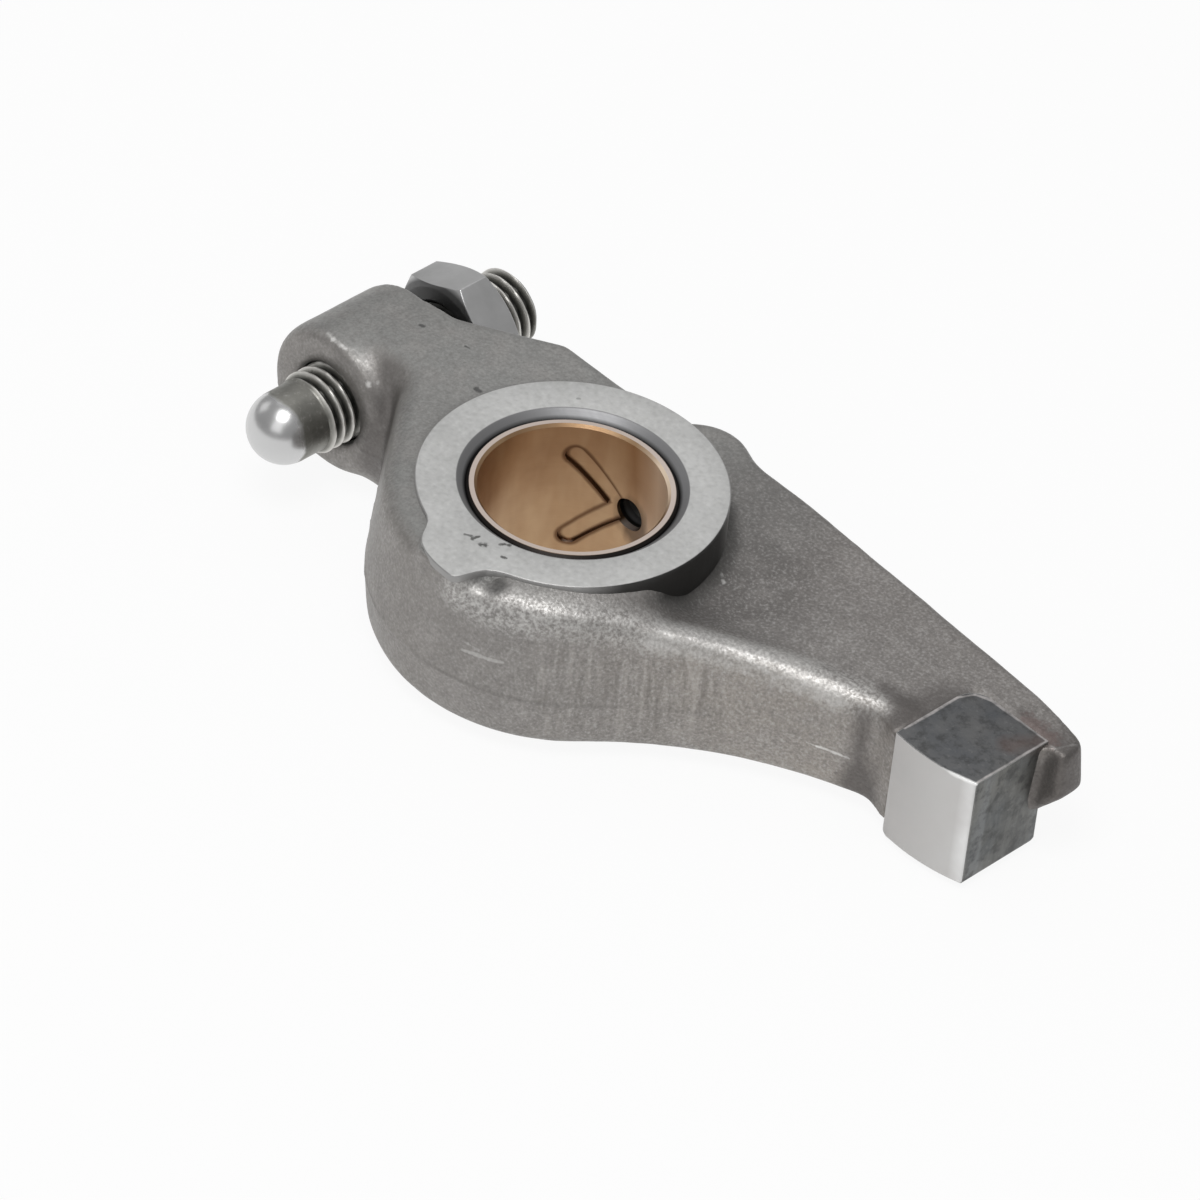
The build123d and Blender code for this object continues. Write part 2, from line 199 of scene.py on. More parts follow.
BORE_HIDE = 17.5                # the nearest that it comes to the shaft's axis
SCREW_X = -44.0
SCREW_Z = 13.25
BOSS_Y = 4.0
BOSS_HALF = 9.5
TAPPED_HOLE = 6.25
TAPPED_REACH = 6.9              # points nearer the screw's axis belong to the hole
PAD_START_X = 57.9
PAD_END_X = 71.9
PAD_BACK_Y = 20.2
PAD_BOTTOM = 1.0
PAD_TOP = 19.15
PAD_LOW = np.array([PAD_START_X, 4.5, PAD_BOTTOM])
PAD_HIGH = np.array([PAD_END_X, PAD_BACK_Y, PAD_TOP])
PAD_CORE = 0.93                 # the forging shrinks to this share inside the pad


def finished(piece, sharp=None):
    """Gives a piece the mesh that its modifiers make, smooth but for edges over an angle."""
    bpy.context.view_layer.update()
    graph = bpy.context.evaluated_depsgraph_get()
    mesh = bpy.data.meshes.new_from_object(piece.evaluated_get(graph))
    piece.modifiers.clear()
    piece.data = mesh
    mesh.name = piece.name
    mesh.shade_smooth()
    if sharp is not None:
        mesh.set_sharp_from_angle(angle=math.radians(sharp))
    return mesh


def new_piece(name, mesh):
    """Puts a mesh into the scene as a piece."""
    piece = bpy.data.objects.new(name, mesh)
    scene.collection.objects.link(piece)
    return piece


def copied_solid(node_name, piece_name):
    """A new piece with the same surface as a CAD node, its corners sewn together."""
    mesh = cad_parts[node_name].data.copy()
    mesh.materials.clear()
    sewn = bmesh.new()
    sewn.from_mesh(mesh)
    bmesh.ops.remove_doubles(sewn, verts=sewn.verts, dist=1e-6)
    sewn.to_mesh(mesh)
    sewn.free()
    return new_piece(piece_name, mesh)


def read_points(mesh, what="co"):
    """The mesh's points, or its normals, as rows of three numbers."""
    out = np.empty(len(mesh.vertices) * 3)
    mesh.vertices.foreach_get(what, out)
    return out.reshape(-1, 3)


def put_points(mesh, points):
    """Moves the mesh's points to places in millimetres."""
    mesh.vertices.foreach_set("co", (points * MM).astype(np.float32).ravel())
    mesh.update()


def step(value, low, high):
    """0 below low, 1 above high, smooth between them."""
    t = np.clip((value - low) / (high - low), 0, 1)
    return t * t * (3 - 2 * t)


def relaxed(co, ends, rounds, weight):
    """Each point moves towards the middle of its neighbours, by its weight."""
    count = np.bincount(ends.ravel(), minlength=len(co))[:, None]
    for _ in range(rounds):
        total = np.zeros_like(co)
        for axis in range(3):
            total[:, axis] = np.bincount(ends[:, 0], co[ends[:, 1], axis], len(co))
            total[:, axis] += np.bincount(ends[:, 1], co[ends[:, 0], axis], len(co))
        co = co + (total / count - co) * weight[:, None]
    return co


forging = copied_solid("rocker_body", "forging")
remesh = forging.modifiers.new("cells", "REMESH")
remesh.mode = "VOXEL"
remesh.voxel_size = FORGING_CELL * MM
forging_mesh = finished(forging)

# the die rounds every corner a little, and the saddle, the neck by the boss and the hub's
# shoulder a lot
co = read_points(forging_mesh) / MM
ends = np.empty(len(forging_mesh.edges) * 2, int)
forging_mesh.edges.foreach_get("vertices", ends)
ends = ends.reshape(-1, 2)
x, y, z = co.T
radius = np.hypot(x, y)
saddle = 1 - step(np.hypot(radius - SADDLE_RADIUS, z - SADDLE_Z), *SADDLE_FADE)
saddle *= step(x, 6, 12)
neck = 1 - step(np.hypot(x - NECK_X, y - NECK_Y), *NECK_FADE)
shoulder = 1 - step(np.hypot(radius - SHOULDER_RADIUS, z - SHOULDER_Z), *SHOULDER_FADE)
shoulder *= step(-y, 6, 12) * step(x, -2, 6)
co = relaxed(co, ends, CORNER_ROUNDS, np.full(len(co), EASE))
co = relaxed(co, ends, SOFT_ROUNDS, EASE * np.maximum(np.maximum(saddle, neck), shoulder))

# lumps that the die and the scale left, and what the trimming of the flash left
put_points(forging_mesh, co)
outward = read_points(forging_mesh, "normal")
upright = 1 - step(np.abs(outward[:, 2]), 0.3, 0.6)
lumps = np.array([
    BROAD_LUMP * noise.noise(Vector(p) * BROAD_PITCH)
    + FINE_LUMP * noise.noise(Vector(p) * FINE_PITCH)
    for p in co
])
flash = (1 - step(np.abs(co[:, 2] - PARTING_Z), 0.0, FLASH_HALF)) * upright
flash *= 0.6 + np.array([noise.noise(Vector((*p[:2], 0)) * FLASH_PITCH) for p in co])
co = co + outward * (lumps + FLASH_RISE * np.clip(flash, 0, 1))[:, None]

# the wall swells forward to meet the pad's front edge, and the steel sinks beside the lug
swell = step(co[:, 0], *SWELL_X) * step(-outward[:, 1], 0.3, 0.8)
swell *= (co[:, 0] < SWELL_LIMIT_X) & (co[:, 1] > SWELL_LIMIT_Y)
co[:, 1] += swell * (SWELL_Y - co[:, 1])
dimple = 1 - step(np.linalg.norm(co - LUG_DIMPLE, axis=1), *LUG_DIMPLE_FADE)
co[:, 2] -= LUG_DIMPLE_DEPTH * dimple

# where a machined surface stands proud of the forging, the forging keeps under it:
# the ring's wall and faces, the tapped hole, and the pad
radius = np.hypot(co[:, 0], co[:, 1])
around = co[:, :2] / np.maximum(radius, 1e-6)[:, None]
sunk = radius - RING_WALL_HIDE * (1 - step(radius, RING_RADIUS, RING_RADIUS + 0.9))
co[:, :2] = around * np.maximum(sunk, BORE_HIDE)[:, None]
top_cap = (radius < RING_RADIUS + 5.5) & (co[:, 2] > HUB_WIDTH - FACE_HIDE)
co[top_cap, 2] = HUB_WIDTH - FACE_HIDE
low_cap = (radius < RING_RADIUS + 0.3) & (co[:, 2] < FACE_HIDE)
co[low_cap, 2] = FACE_HIDE
from_screw = co[:, [0, 2]] - np.array([SCREW_X, SCREW_Z])
off_screw = np.maximum(np.hypot(from_screw[:, 0], from_screw[:, 1]), 1e-6)
in_hole = (off_screw < TAPPED_REACH) & (np.abs(co[:, 1] - BOSS_Y) < BOSS_HALF)
grown = np.maximum(off_screw, TAPPED_HOLE) / off_screw
co[in_hole, 0] = SCREW_X + (from_screw[:, 0] * grown)[in_hole]
co[in_hole, 2] = SCREW_Z + (from_screw[:, 1] * grown)[in_hole]
outside = np.maximum(np.maximum(PAD_LOW - co, co - PAD_HIGH), 0)
in_pad = 1 - step(np.linalg.norm(outside, axis=1), 0.15, 0.5)
pad_middle = (PAD_LOW + PAD_HIGH) / 2
co = co + (pad_middle - co) * (in_pad * (1 - PAD_CORE))[:, None]
put_points(forging_mesh, co)
forging_mesh.shade_smooth()


def all_of(tree, *masks):
    """Masks and shares multiplied, so that each one limits the others."""
    whole = masks[0]
    for mask in masks[1:]:
        whole = reckoned(tree, "MULTIPLY", whole, mask)
    return whole


def painted(tree, under, over, *masks):
    """The under colour, with the over colour on it as far as all the masks let it."""
    mix = tree.nodes.new("ShaderNodeMix")
    mix.data_type = "RGBA"
    tree.links.new(all_of(tree, *masks), mix.inputs[0])
    for socket, colour in ((mix.inputs[6], under), (mix.inputs[7], over)):
        if isinstance(colour, bpy.types.NodeSocket):
            tree.links.new(colour, socket)
        else:
            socket.default_value = (*colour, 1)
    return mix.outputs[2]


def spread(tree, value, low, high, to_low=0.0, to_high=1.0):
    """The value taken from one range into another, and held inside it."""
    return node(tree, "ShaderNodeMapRange", {
        "Value": value, "From Min": low, "From Max": high, "To Min": to_low, "To Max": to_high,
    }).outputs[0]


def vector_sum(tree, kind, a, b, answer=0):
    """What a vector sum such as DOT_PRODUCT or DISTANCE makes of two vectors."""
    return node(tree, "ShaderNodeVectorMath", {0: a, 1: b}, operation=kind).outputs[answer]


def skin_of(tree):
    """Where the surface is, the same split into X, Y and Z, and the way it faces, split."""
    metres = node(tree, "ShaderNodeTexCoord").outputs["Object"]
    place = vector_sum(tree, "MULTIPLY", metres, (1 / MM, 1 / MM, 1 / MM))
    normal = node(tree, "ShaderNodeNewGeometry").outputs["Normal"]
    spot = node(tree, "ShaderNodeSeparateXYZ", {0: place}).outputs
    facing = node(tree, "ShaderNodeSeparateXYZ", {0: normal}).outputs
    return place, spot, facing


def level_share(tree, facing):
    """1 where the surface is level, either way up, and 0 where it is upright."""
    return reckoned(tree, "ABSOLUTE", facing["Z"])


def noise_of(tree, place, scale, detail=3.0, roughness=0.6):
    """Cloudy noise; a scale of three numbers draws it out along the smaller ones."""
    if isinstance(scale, tuple):
        place = vector_sum(tree, "MULTIPLY", place, scale)
        scale = 1.0
    return node(tree, "ShaderNodeTexNoise", {
        "Vector": place, "Scale": scale, "Detail": detail, "Roughness": roughness,
    }).outputs["Fac"]


def axis_gap(tree, across, up, centre=(0, 0, 0)):
    """How far the surface is from an axis, by its two coordinates square to that axis."""
    flat = node(tree, "ShaderNodeCombineXYZ", {"X": across, "Y": up}).outputs[0]
    return vector_sum(tree, "DISTANCE", flat, centre, "Value")


def path_gap(tree, place, *points):
    """How far the surface is from the line through some points."""
    nearest = None
    for start, end in zip(points, points[1:]):
        along = Vector(end) - Vector(start)
        off = vector_sum(tree, "SUBTRACT", place, start)
        part = vector_sum(tree, "DOT_PRODUCT", off, along / along.length_squared, "Value")
        part = spread(tree, part, 0.0, 1.0)
        foot = node(tree, "ShaderNodeVectorMath", {0: along, "Scale": part}, operation="SCALE")
        gap = vector_sum(tree, "DISTANCE", off, foot.outputs[0], "Value")
        nearest = gap if nearest is None else reckoned(tree, "MINIMUM", nearest, gap)
    return nearest


def near_line(tree, place, start, end, width, ragged=None):
    """1 on the line between two points, and 0 from a width away."""
    gap = path_gap(tree, place, start, end)
    if ragged is not None:
        gap = reckoned(tree, "ADD", gap, spread(tree, ragged, 0.3, 0.7, -0.5 * width, 0.5 * width))
    return spread(tree, gap, width, 0.35 * width)


def metal_finish(tree, output, colour, metallic, roughness, relief, depth, strength):
    """Wires a metal's colour, gloss and fine relief to its material's output."""
    skin = node(tree, "ShaderNodeBump", {
        "Height": relief, "Distance": depth * MM, "Strength": strength,
    })
    metal = node(tree, "ShaderNodeBsdfPrincipled", {
        "Base Color": colour, "Metallic": metallic, "Roughness": roughness,
        "Normal": skin.outputs[0],
    })
    tree.links.new(metal.outputs[0], output.inputs[0])


def put_on(mesh, material):
    """Gives a mesh one material all over."""
    mesh.materials.clear()
    mesh.materials.append(material)


blasted_steel, tree, output = new_material("blasted_steel")
place, spot, facing = skin_of(tree)
grain = noise_of(tree, place, 2.3)
sand = noise_of(tree, place, 0.9)
blotch = noise_of(tree, place, 0.21)
cloud = noise_of(tree, place, 0.05, 2.0, 0.5)
wear = noise_of(tree, place, (1.1, 1.1, 0.06), 2.0, 0.5)

# neutral on the hub, browner on the web and on the front wall, with painted shade on the web beside
# the ring's wall
front = spread(tree, facing["Y"], -0.25, -0.75)
valve_side = spread(tree, spot["X"], 4.0, 24.0)
along_arm = spread(tree, spot["X"], 14.0, 36.0)
web = spread(tree, facing["Z"], 0.75, 0.95)
shade_by_ring = near_line(tree, place, (12, 22, 19), (24, 8, 19), 16.0)
steel = painted(tree, (0.33, 0.33, 0.32), (0.285, 0.265, 0.252), valve_side, 0.9)
steel = painted(tree, steel, (0.30, 0.285, 0.27), front)
steel = painted(tree, steel, (0.39, 0.358, 0.325), front, along_arm)
# painted shade on the level web beside the ring's wall
steel = painted(tree, steel, (0.13, 0.125, 0.12), web, shade_by_ring, 0.55)
steel = painted(tree, steel, (0.28, 0.27, 0.26), spread(tree, cloud, 0.35, 0.7, 0.0, 0.4))
steel = painted(tree, steel, (0.42, 0.40, 0.385), spread(tree, blotch, 0.45, 0.7, 0.0, 0.35))

# the grain that the shot left, coarser on the arm than on the hub
coarse = spread(tree, valve_side, 0.0, 1.0, 0.45, 1.0)
steel = painted(tree, steel, (0.19, 0.18, 0.175), spread(tree, sand, 0.55, 0.35, 0.0, 0.25))
steel = painted(tree, steel, (0.13, 0.125, 0.12),
                coarse, spread(tree, grain, 0.5, 0.3, 0.0, 0.36))
steel = painted(tree, steel, (0.62, 0.61, 0.60),
                coarse, spread(tree, grain, 0.52, 0.72, 0.0, 0.36))

# a painted highlight, speckled, along the rounded edge that runs from the hub to the pad
HIGHLIGHT_EDGE = (
    (4.6, -25.0, 23.4), (9.0, -24.0, 23.0), (14.0, -20.7, 23.4), (19.3, -15.2, 23.4),
    (28.6, -5.1, 21.3), (38.0, 2.7, 19.7), (48.8, 6.9, 18.7), (52.0, 7.9, 18.3),
)
HIGHLIGHT_REACH = (3.7, 0.9)          # where the painted highlight fades out, and where it is full
highlight_strip = spread(tree, path_gap(tree, place, *HIGHLIGHT_EDGE), *HIGHLIGHT_REACH)
highlight_speckle = reckoned(tree, "ADD", spread(tree, grain, 0.42, 0.60, 0.06, 0.42),
                   spread(tree, sand, 0.40, 0.60, 0.0, 0.20))
steel = painted(tree, steel, (0.74, 0.73, 0.71), highlight_strip, highlight_speckle)

# marks that the die drew down the front wall
drag = all_of(tree, front, near_line(tree, place, (20, -18, 12), (30, -8, 14), 11.0))
steel = painted(tree, steel, (0.20, 0.185, 0.17), drag, spread(tree, wear, 0.48, 0.30, 0.0, 0.5))
steel = painted(tree, steel, (0.55, 0.52, 0.49), drag, spread(tree, wear, 0.52, 0.70, 0.0, 0.4))

# where the steel was scraped bright, and painted highlights along the nib's top edge, on the crest
# and on the boss's rim
SCRAPES_AND_HIGHLIGHTS = (
    # two ends of each, width and strength
    ((46.3, 3.2, 9.5), (50.6, 5.1, 9.3), 0.28, 0.62),
    ((45.0, 2.5, 9.6), (46.6, 3.3, 9.4), 0.22, 0.6),
    ((7.0, -25.8, 15.3), (12.4, -23.7, 15.5), 0.35, 0.28),
    ((4.4, -26.6, 16.8), (9.2, -25.1, 16.3), 0.30, 0.22),
    ((9.0, -25.2, 18.0), (12.8, -23.6, 17.6), 0.30, 0.18),
    # painted highlight along the nib's top edge
    ((71.9, 19.9, 19.0), (73.4, 20.0, 19.0), 0.28, 0.55),
    ((73.4, 20.0, 19.0), (74.9, 23.6, 19.0), 0.26, 0.45),
    # painted highlight in two broad strips, widening the painted highlight on the crest
    ((27.0, -9.4, 21.2), (47.0, 4.2, 18.2), 2.5, 0.32),
    ((25.0, -6.5, 21.8), (41.0, 5.4, 19.5), 2.2, 0.25),
    # painted highlights in spots on the boss's rim
    ((-44.6, -3.3, 24.3), (-42.2, -3.2, 24.3), 0.55, 0.8),
    ((-46.0, -3.0, 24.1), (-45.3, -3.1, 24.2), 0.40, 0.5),
    ((-37.0, -3.6, 21.9), (-36.7, -3.5, 21.0), 0.45, 0.8),
    ((-36.0, -2.4, 21.5), (-35.9, -2.0, 21.3), 0.40, 0.5),
    # scraped bright spots on the web by the ring
    ((19.9, 9.3, 19.0), (20.6, 8.9, 19.0), 0.55, 0.9),
    ((21.5, 8.4, 19.0), (21.9, 8.2, 19.0), 0.35, 0.6),
)
for start, end, width, strength in SCRAPES_AND_HIGHLIGHTS:
    scrape_and_highlight = near_line(tree, place, start, end, width, sand)
    steel = painted(tree, steel, (0.86, 0.85, 0.83), scrape_and_highlight, strength)

# flash line, ground away
off_line = reckoned(tree, "ABSOLUTE", reckoned(tree, "SUBTRACT", spot["Z"], PARTING_Z))
steel = painted(tree, steel, (0.19, 0.18, 0.17),
                spread(tree, off_line, 0.55, 0.1),
                spread(tree, level_share(tree, facing), 0.4, 0.25),
                spread(tree, blotch, 0.35, 0.6, 0.0, 0.6),
                spread(tree, spot["X"], 34.0, 16.0, 0.25, 1.0))

# painted shade at the foot of the hub ring and beside the lug, dirt in three nicks, and painted
# shade under the nut
off_shaft = axis_gap(tree, spot["X"], spot["Y"])
# painted shade at the foot of the hub ring's wall
steel = painted(tree, steel, (0.055, 0.055, 0.052),
                spread(tree, off_shaft, 24.0, 21.6),
                spread(tree, spot["Z"], 24.6, 22.5),
                spread(tree, cloud, 0.25, 0.5, 0.5, 0.9))
# painted shade beside the lug, under the ring's edge
steel = painted(tree, steel, (0.05, 0.05, 0.048),
                near_line(tree, place, (5.0, -22.4, 25.4), (8.2, -21.4, 25.2), 2.1), 0.62)
NICKS = (
    # two ends and width of each
    ((-38.4, 7.3, 25.3), (-37.8, 7.4, 25.3), 0.45),
    ((-23.4, 3.9, 25.5), (-22.8, 4.0, 25.5), 0.5),
    ((-31.0, 9.0, 25.5), (-30.4, 9.1, 25.5), 0.3),
)
for start, end, width in NICKS:
    nick = near_line(tree, place, start, end, width, sand)
    steel = painted(tree, steel, (0.06, 0.06, 0.06), nick, 0.7)
# painted shade under the nut
shade_under_nut = near_line(tree, place, (-48.0, 12.5, 20.0), (-36.5, 12.8, 19.5), 3.2, blotch)
steel = painted(tree, steel, (0.04, 0.04, 0.038), shade_under_nut, 0.8)

# dark tints of heat round the hardened pad, darker down the wall beside the pad, painted shade in
# the valley between the boss and the neck, and a little rust
HEAT_TINTS_AND_SHADE = (
    # two ends of each, width and strength
    # heat tints round the hardened pad
    ((56.0, 9.0, 19.0), (57.5, 16.0, 19.0), 5.0, 0.62),
    ((76.4, 18.6, 14.0), (76.4, 24.0, 8.0), 12.0, 0.85),
    ((66.0, 21.5, 19.0), (73.0, 21.0, 19.0), 2.2, 0.55),
    ((50.5, 10.5, 19.0), (56.5, 10.0, 19.0), 2.6, 0.7),
    # darker down the wall's valley beside the pad
    ((52.4, 5.6, 2.0), (51.6, 5.6, 16.0), 4.4, 0.85),
    # painted shade in the valley between the boss and the neck
    ((-34.2, -3.2, 23.0), (-33.4, -3.4, 8.0), 5.0, 0.66),
    # darker down the wall at the pad's front corner
    ((56.0, 5.9, 2.0), (56.0, 5.9, 18.0), 4.0, 0.35),
)
for start, end, width, strength in HEAT_TINTS_AND_SHADE:
    tint_and_shade = near_line(tree, place, start, end, width, cloud)
    steel = painted(tree, steel, (0.12, 0.11, 0.105), tint_and_shade, strength)
rust = near_line(tree, place, (67.0, 21.2, 19.0), (72.0, 20.9, 19.0), 1.6, sand)
steel = painted(tree, steel, (0.20, 0.13, 0.12), rust, 0.4)

relief = reckoned(tree, "ADD", grain, all_of(tree, sand, 0.9))
relief = reckoned(tree, "ADD", relief, all_of(tree, drag, wear))
metal_finish(tree, output, steel, 0.8, spread(tree, grain, 0.3, 0.7, 0.60, 0.42),
             relief, 0.07, spread(tree, valve_side, 0.0, 1.0, 0.55, 0.75))
put_on(forging_mesh, blasted_steel)
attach(forging, "rocker")
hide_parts("rocker_body")

# ---------------------------------------------------------------- rocker body: the hub ring
# The forging's two ring faces, turned and ground bright, with the lug's face ground level
# with the upper one, and the chamfered seat that the bush is pressed into.
SEAT_RADIUS = 14.5
SEAT_CHAMFER = 1.3
CHAMFER_RADIUS = SEAT_RADIUS + SEAT_CHAMFER
CHAMFER_IN, CHAMFER_OUT = 0.08, 0.12        # how the chamfer's corner is broken
LUG_SLAB = 1.1
RIM_ROUND = 0.22
RING_STEPS = 480
LUG_OUTLINE = (
    # bearing in degrees and reach of the lug's edge
    (-113.5, 21.5), (-110.2, 21.55), (-107.0, 21.95), (-104.3, 22.8), (-101.5, 24.0),
    (-98.5, 24.9), (-94.5, 25.5), (-89.8, 25.9), (-84.5, 26.2), (-81.6, 26.35), (-80.0, 25.9),
    (-78.9, 24.9), (-77.2, 23.6), (-74.8, 22.4), (-71.5, 21.75), (-67.5, 21.5),
)


def lug_reach(bearing):
    """How far the upper face reaches at a bearing in degrees."""
    bearings, reaches = zip(*LUG_OUTLINE)
    return float(np.interp(bearing, bearings, reaches, left=RING_RADIUS, right=RING_RADIUS))


def edge_round(reach, height, first):
    """Four points round an outer corner of the ring, from a bearing in degrees."""
    turns = [math.radians(first + 30 * k) for k in range(4)]
    return [(reach - RIM_ROUND + RIM_ROUND * math.cos(a), height + RIM_ROUND * math.sin(a))
            for a in turns]


def closed_band(profiles, name):
    """Sews rings of points, one closed profile for each step round, into one skin."""
    steps, height = len(profiles), len(profiles[0])
    faces = []
    for i in range(steps):
        for j in range(height):
            up = (j + 1) % height
            on = (i + 1) % steps * height
            faces.append((i * height + j, i * height + up, on + up, on + j))
    mesh = bpy.data.meshes.new(name)
    mesh.from_pydata([point for profile in profiles for point in profile], [], faces)
    mesh.update()
    return mesh


profiles = []
for i in range(RING_STEPS):
    bearing = -180 + 360 * i / RING_STEPS
    reach = lug_reach(bearing)
    c, s = math.cos(math.radians(bearing)), math.sin(math.radians(bearing))
    profile = [
        (SEAT_RADIUS, SEAT_CHAMFER),
        (CHAMFER_RADIUS - CHAMFER_IN, CHAMFER_IN),
        (CHAMFER_RADIUS + CHAMFER_OUT, 0.0),
        *edge_round(RING_RADIUS, RIM_ROUND, -90),
        (RING_RADIUS, HUB_WIDTH - LUG_SLAB - 0.05),
        (reach, HUB_WIDTH - LUG_SLAB),
        *edge_round(reach, HUB_WIDTH - RIM_ROUND, 0),
        (CHAMFER_RADIUS + CHAMFER_OUT, HUB_WIDTH),
        (CHAMFER_RADIUS - CHAMFER_IN, HUB_WIDTH - CHAMFER_IN),
        (SEAT_RADIUS, HUB_WIDTH - SEAT_CHAMFER),
    ]
    profiles.append([(r * c * MM, r * s * MM, z * MM) for r, z in profile])
hub_ring = new_piece("hub_ring", closed_band(profiles, "hub_ring"))

OIL_HOLE_RADIUS = 2.5
OIL_HOLE_BEARING = math.radians(94.0)
DRILL_SIDES = 48
DRILL_LENGTH = 20.0
DRILL_MIDDLE = 18.0             # from the shaft's axis


def cut_with_bar(piece, name, sides, radius, length, turn):
    """Cuts a hole the shape of a bar out of a piece."""
    bar_form = bmesh.new()
    bmesh.ops.create_cone(bar_form, cap_ends=True, segments=sides, radius1=radius * MM,
                          radius2=radius * MM, depth=length * MM)
    bar_mesh = bpy.data.meshes.new(name)
    bar_form.to_mesh(bar_mesh)
    bar_form.free()
    bar = new_piece(name, bar_mesh)
    bar.matrix_world = turn
    cut = piece.modifiers.new(name, "BOOLEAN")
    cut.operation = "DIFFERENCE"
    cut.object = bar
    cut.solver = "EXACT"
    mesh = finished(piece, 35)
    bpy.data.objects.remove(bar)
    return mesh


drill_way = Vector((math.cos(OIL_HOLE_BEARING), math.sin(OIL_HOLE_BEARING), 0))
drill_turn = (
    Matrix.Translation((drill_way * DRILL_MIDDLE + Vector((0, 0, HUB_WIDTH / 2))) * MM)
    @ drill_way.to_track_quat("Z", "Y").to_matrix().to_4x4()
)
ring_mesh = cut_with_bar(hub_ring, "oil_drill", DRILL_SIDES, OIL_HOLE_RADIUS, DRILL_LENGTH,
                         drill_turn)

ground_steel, tree, output = new_material("ground_steel")
place, spot, facing = skin_of(tree)


def turned_lines(tree, distance, scale):
    """The fine lines that a tool leaves at one distance after another."""
    return node(tree, "ShaderNodeTexNoise", {"W": distance, "Scale": scale, "Detail": 3.0},
                noise_dimensions="1D").outputs["Fac"]


off_shaft = axis_gap(tree, spot["X"], spot["Y"])
turned_rings = turned_lines(tree, off_shaft, 5.2)
ground_lines = noise_of(tree, place, (0.26, 2.1, 0.26))
cloud = noise_of(tree, place, 0.11)
sand = noise_of(tree, place, 1.2, 2.0, 0.5)

# the ground faces, clouded, sandy and lightly scratched
face = painted(tree, (0.66, 0.66, 0.65), (0.58, 0.58, 0.57), spread(tree, cloud, 0.35, 0.7))
face = painted(tree, face, (0.44, 0.44, 0.43), spread(tree, sand, 0.50, 0.30, 0.0, 0.35))
face = painted(tree, face, (0.82, 0.82, 0.81), spread(tree, sand, 0.55, 0.75, 0.0, 0.35))
face = painted(tree, face, (0.66, 0.66, 0.655),
               spread(tree, ground_lines, 0.55, 0.75, 0.0, 0.35))
PITS = (
    # two ends of each pit in the upper face, its width and depth of tone
    ((-1.2, -18.8), (-0.6, -18.5), 0.32, 0.7), ((0.1, -18.7), (0.3, -17.8), 0.36, 0.85),
    ((1.6, -18.6), (2.1, -18.2), 0.42, 0.9), ((3.5, -16.1), (4.0, -15.7), 0.40, 0.9),
    ((3.2, -16.6), (3.3, -16.3), 0.28, 0.7), ((5.3, -18.1), (5.8, -17.8), 0.32, 0.85),
    ((-12.5, 12.6), (-12.3, 12.9), 0.25, 0.4),
)
for start, end, width, tone in PITS:
    pit = near_line(tree, place, (*start, HUB_WIDTH), (*end, HUB_WIDTH), width, sand)
    face = painted(tree, face, (0.10, 0.10, 0.095), pit, tone)

# the ring's wall, painted dark as shade beside the web and lighter towards the lug, and the seat's
# chamfer
shaded_wall = painted(tree, (0.045, 0.045, 0.043), (0.08, 0.078, 0.076), cloud)
shaded_wall = painted(tree, shaded_wall, (0.36, 0.355, 0.35), spread(tree, spot["X"], 19.5, 16.0))
ring = painted(tree, shaded_wall, face, spread(tree, level_share(tree, facing), 0.80, 0.97))
ring = painted(tree, ring, (0.02, 0.02, 0.02), spread(tree, off_shaft, 15.95, 15.75))
ring = painted(tree, ring, (0.26, 0.26, 0.265),
               spread(tree, off_shaft, 15.95, 15.8), spread(tree, off_shaft, 14.6, 15.1))
scratches = reckoned(tree, "ADD", all_of(tree, turned_rings, 0.5), ground_lines)
metal_finish(tree, output, ring, 0.85, spread(tree, scratches, 0.5, 1.1, 0.46, 0.54),
             scratches, 0.010, 0.5)
put_on(ring_mesh, ground_steel)
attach(hub_ring, "rocker")
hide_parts("rocker_body")

# ---------------------------------------------------------------- rocker body: the valve pad
# The block at the end of the arm that presses on the valve, milled on its flanks and
# hardened, which left them dark. Its crowned contact face is ground to a bright satin.
PAD_CONTACT_Y = 5.3
PAD_SKEW = 1.2
PAD_CROWN = 30.0
PAD_CORNER = 3.5
PAD_FLOOR_ROUND = 2.5
PAD_END_ROUND_SHARE = 0.4
PAD_EDGE = 0.22
CROWN_STEPS = 16
CORNER_STEPS = 8
pad_width = PAD_END_X - PAD_START_X
pad_span = math.hypot(pad_width, PAD_SKEW)
crown_low = math.sqrt(PAD_CROWN ** 2 - (pad_span / 2) ** 2)
pad_outline = []
for k in range(CROWN_STEPS + 1):
    t = k / CROWN_STEPS
    bulge = math.sqrt(PAD_CROWN ** 2 - ((t - 0.5) * pad_span) ** 2) - crown_low
    pad_outline.append((
        PAD_START_X + t * pad_width + bulge * PAD_SKEW / pad_span,
        PAD_CONTACT_Y + t * PAD_SKEW - bulge * pad_width / pad_span,
    ))
pad_outline.append((PAD_END_X, PAD_BACK_Y))
for k in range(CORNER_STEPS + 1):
    a = math.radians(90 + 90 * k / CORNER_STEPS)
    pad_outline.append((
        PAD_START_X + PAD_CORNER + PAD_CORNER * math.cos(a),
        PAD_BACK_Y - PAD_CORNER + PAD_CORNER * math.sin(a),
    ))
pad_form = bmesh.new()
round_share = pad_form.edges.layers.float.new("bevel_weight_edge")
floor_points = [pad_form.verts.new((x * MM, y * MM, PAD_BOTTOM * MM)) for x, y in pad_outline]
roof_points = [pad_form.verts.new((x * MM, y * MM, PAD_TOP * MM)) for x, y in pad_outline]
pad_form.faces.new(list(reversed(floor_points)))
pad_form.faces.new(roof_points)
